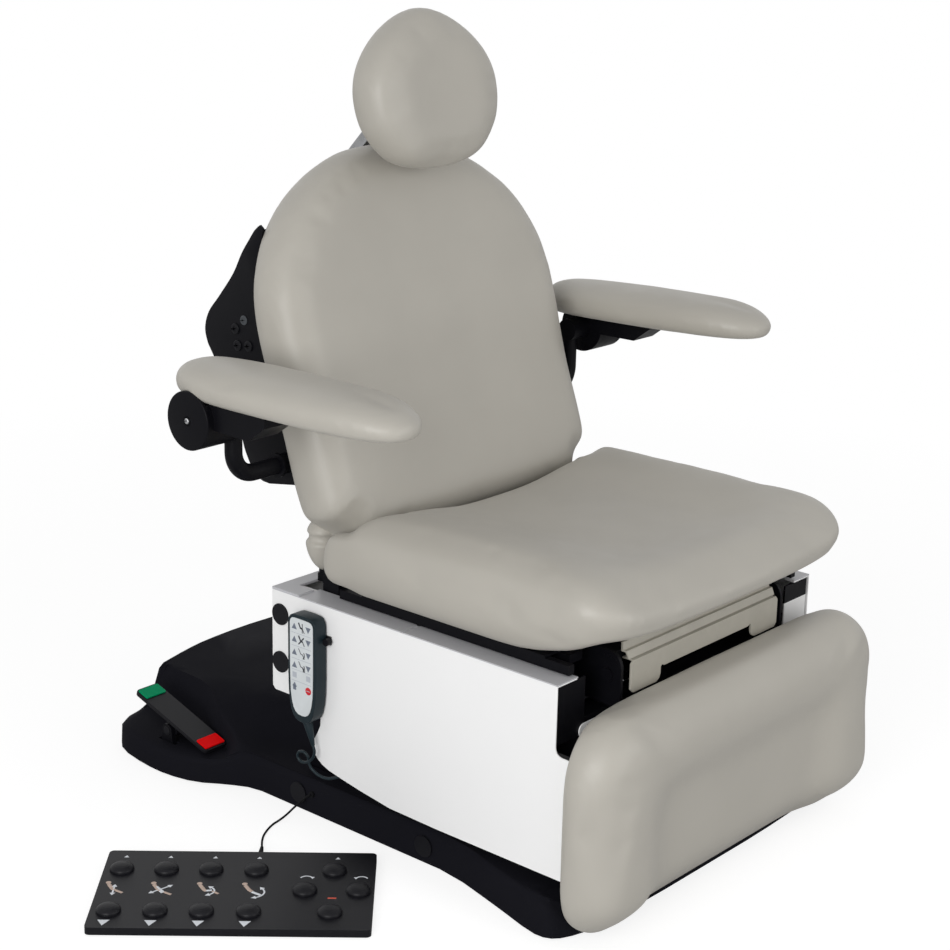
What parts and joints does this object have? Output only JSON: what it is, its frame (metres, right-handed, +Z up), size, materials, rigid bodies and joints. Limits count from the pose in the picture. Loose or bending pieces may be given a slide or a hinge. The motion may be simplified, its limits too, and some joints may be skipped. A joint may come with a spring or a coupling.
{
  "type": "podiatry chair",
  "caption": "Powered podiatry chair with scissor lift, tilting seat, reclining back, raising leg section, swing-up arms, headrest, handset and foot control",
  "frame": {"origin": "on the floor under the middle of the chair, 110 mm in front of the rear edge of the seat housing", "axes": "+Z up, the seated patient faces -Y, +X to the patient's left"},
  "size_m": [1.3243, 1.1828, 1.2971],
  "materials": {
    "moulded_black": "satin moulded cover",
    "painted_black": "satin powder coat",
    "bright_steel": "satin",
    "rubber_black": "matt",
    "plastic_black": "satin",
    "panel_white": "satin powder coat",
    "handset_slate": "satin",
    "keypad_pale": "satin membrane",
    "pad_green": "satin",
    "pad_red": "satin",
    "lever_tan": "satin",
    "upholstery": "soft satin vinyl",
    "cover_plastic": "satin"
  },
  "bodies": {
    "base": {"base_shell": "moulded_black", "base_frame": "painted_black", "rubber_feet": "rubber_black", "base_plugs": "plastic_black", "lift_actuator": "painted_black", "foot_control_case": "plastic_black", "foot_cord_gland": "rubber_black", "foot_cord": "rubber_black"},
    "pedal": {"brake_pedal": "plastic_black", "pedal_pad_green": "pad_green", "pedal_pad_red": "pad_red"},
    "arms_outer": {"lift_arms_outer": "painted_black"},
    "arms_inner": {"lift_arms_inner": "painted_black"},
    "lower_slide": {"glides_lower": "bright_steel", "lift_rod": "bright_steel"},
    "upper_slide": {"glides_upper": "bright_steel"},
    "platform": {"lift_platform": "painted_black", "front_shields": "painted_black", "housing_left": "panel_white", "housing_right": "panel_white", "housing_front": "panel_white", "housing_rear": "panel_white", "housing_top_plates": "panel_white", "housing_plugs": "plastic_black", "handset_hook": "plastic_black", "handset_case": "handset_slate", "handset_keypad": "keypad_pale", "handset_cord": "handset_slate"},
    "seat": {"seat_frame": "painted_black", "seat_cushion": "upholstery", "gap_cover_lower": "cover_plastic", "gap_cover_upper": "cover_plastic", "drive_motors": "painted_black"},
    "leg": {"leg_frame": "painted_black"},
    "leg_carriage": {"leg_board": "painted_black", "leg_cushion": "upholstery"},
    "back": {"back_frame": "painted_black", "back_shell": "painted_black", "back_cushion": "upholstery", "arm_posts": "painted_black"},
    "arm_left": {"arm_left_bracket": "painted_black", "arm_left_pad": "upholstery"},
    "arm_right": {"arm_right_bracket": "painted_black", "arm_right_pad": "upholstery"},
    "head_slide": {"head_bar": "bright_steel"},
    "head": {"head_bracket": "painted_black", "head_cushion": "upholstery"},
    "lever": {"head_lever": "lever_tan"},
    "button_01": {"foot_button_01": "plastic_black"},
    "button_02": {"foot_button_02": "plastic_black"},
    "button_03": {"foot_button_03": "plastic_black"},
    "button_04": {"foot_button_04": "plastic_black"},
    "button_05": {"foot_button_05": "plastic_black"},
    "button_06": {"foot_button_06": "plastic_black"},
    "button_07": {"foot_button_07": "plastic_black"},
    "button_08": {"foot_button_08": "plastic_black"},
    "button_09": {"foot_button_09": "plastic_black"},
    "button_10": {"foot_button_10": "plastic_black"},
    "button_11": {"foot_button_11": "plastic_black"},
    "button_12": {"foot_button_12": "plastic_black"}
  },
  "joints": [
    {"name": "chair_lift", "type": "hinge", "parent": "base", "child": "arms_outer", "pos_m": [0, 0.028, 0.085], "axis": [-1, 0, 0], "range_deg": [0, 38]},
    {"name": "scissor_pivot", "type": "hinge", "parent": "arms_outer", "child": "arms_inner", "pos_m": [0, -0.23511, 0.18077], "axis": [1, 0, 0], "range_deg": [0, 76]},
    {"name": "upper_glide_pivot", "type": "hinge", "parent": "arms_outer", "child": "upper_slide", "pos_m": [0, -0.49823, 0.27653], "axis": [1, 0, 0], "range_deg": [0, 38]},
    {"name": "lower_glide_pivot", "type": "hinge", "parent": "arms_inner", "child": "lower_slide", "pos_m": [0, -0.49823, 0.085], "axis": [-1, 0, 0], "range_deg": [0, 38]},
    {"name": "platform_pivot", "type": "hinge", "parent": "arms_inner", "child": "platform", "pos_m": [0, 0.028, 0.27653], "axis": [-1, 0, 0], "range_deg": [0, 38]},
    {"name": "brake_pedal_rock", "type": "hinge", "parent": "base", "child": "pedal", "pos_m": [-0.314, 0.322, 0.066], "axis": [-1, 0, 0], "range_deg": [0, 35]},
    {"name": "seat_tilt", "type": "hinge", "parent": "platform", "child": "seat", "pos_m": [0, -0.024, 0.425], "axis": [-1, 0, 0], "range_deg": [0, 15]},
    {"name": "back_recline", "type": "hinge", "parent": "seat", "child": "back", "pos_m": [0, 0.008, 0.432], "axis": [-1, 0, 0], "range_deg": [0, 70]},
    {"name": "leg_raise", "type": "hinge", "parent": "seat", "child": "leg", "pos_m": [0, -0.532, 0.377], "axis": [-1, 0, 0], "range_deg": [0, 80]},
    {"name": "leg_extend", "type": "slide", "parent": "leg", "child": "leg_carriage", "axis": [0, 0, -1], "range_m": [0, 0.086]},
    {"name": "arm_left_swing", "type": "hinge", "parent": "back", "child": "arm_left", "pos_m": [-0.475, 0.05, 0.708], "axis": [-1, 0, 0], "range_deg": [-40, 95]},
    {"name": "arm_right_swing", "type": "hinge", "parent": "back", "child": "arm_right", "pos_m": [0.475, 0.05, 0.708], "axis": [-1, 0, 0], "range_deg": [-40, 95]},
    {"name": "head_height", "type": "slide", "parent": "back", "child": "head_slide", "axis": [0, 0.309, 0.9511], "range_m": [0, 0.11]},
    {"name": "head_tilt", "type": "hinge", "parent": "head_slide", "child": "head", "pos_m": [0, 0.105, 1.14], "axis": [-1, 0, 0], "range_deg": [-13, 8]},
    {"name": "head_clamp_lever", "type": "hinge", "parent": "head_slide", "child": "lever", "pos_m": [0.0205, 0.188, 1.0615], "axis": [-1, 0, 0], "range_deg": [0, 60]},
    {"name": "foot_button_01_press", "type": "slide", "parent": "base", "child": "button_01", "axis": [0, 0, -1], "range_m": [0, 0.003], "stiffness_N_per_m": 300, "springref_m": -0.002},
    {"name": "foot_button_02_press", "type": "slide", "parent": "base", "child": "button_02", "axis": [0, 0, -1], "range_m": [0, 0.003], "stiffness_N_per_m": 300, "springref_m": -0.002},
    {"name": "foot_button_03_press", "type": "slide", "parent": "base", "child": "button_03", "axis": [0, 0, -1], "range_m": [0, 0.003], "stiffness_N_per_m": 300, "springref_m": -0.002},
    {"name": "foot_button_04_press", "type": "slide", "parent": "base", "child": "button_04", "axis": [0, 0, -1], "range_m": [0, 0.003], "stiffness_N_per_m": 300, "springref_m": -0.002},
    {"name": "foot_button_05_press", "type": "slide", "parent": "base", "child": "button_05", "axis": [0, 0, -1], "range_m": [0, 0.003], "stiffness_N_per_m": 300, "springref_m": -0.002},
    {"name": "foot_button_06_press", "type": "slide", "parent": "base", "child": "button_06", "axis": [0, 0, -1], "range_m": [0, 0.003], "stiffness_N_per_m": 300, "springref_m": -0.002},
    {"name": "foot_button_07_press", "type": "slide", "parent": "base", "child": "button_07", "axis": [0, 0, -1], "range_m": [0, 0.003], "stiffness_N_per_m": 300, "springref_m": -0.002},
    {"name": "foot_button_08_press", "type": "slide", "parent": "base", "child": "button_08", "axis": [0, 0, -1], "range_m": [0, 0.003], "stiffness_N_per_m": 300, "springref_m": -0.002},
    {"name": "foot_button_09_press", "type": "slide", "parent": "base", "child": "button_09", "axis": [0, 0, -1], "range_m": [0, 0.003], "stiffness_N_per_m": 300, "springref_m": -0.002},
    {"name": "foot_button_10_press", "type": "slide", "parent": "base", "child": "button_10", "axis": [0, 0, -1], "range_m": [0, 0.003], "stiffness_N_per_m": 300, "springref_m": -0.002},
    {"name": "foot_button_11_press", "type": "slide", "parent": "base", "child": "button_11", "axis": [0, 0, -1], "range_m": [0, 0.003], "stiffness_N_per_m": 300, "springref_m": -0.002},
    {"name": "foot_button_12_press", "type": "slide", "parent": "base", "child": "button_12", "axis": [0, 0, -1], "range_m": [0, 0.003], "stiffness_N_per_m": 300, "springref_m": -0.002}
  ],
  "couplings": [
    {"joint": "scissor_pivot", "follows": "chair_lift", "ratio": 2},
    {"joint": "upper_glide_pivot", "follows": "chair_lift", "ratio": 1},
    {"joint": "lower_glide_pivot", "follows": "chair_lift", "ratio": 1},
    {"joint": "platform_pivot", "follows": "chair_lift", "ratio": 1},
    {"joint": "leg_extend", "follows": "leg_raise", "m_per_rad": 0.0609}
  ]
}
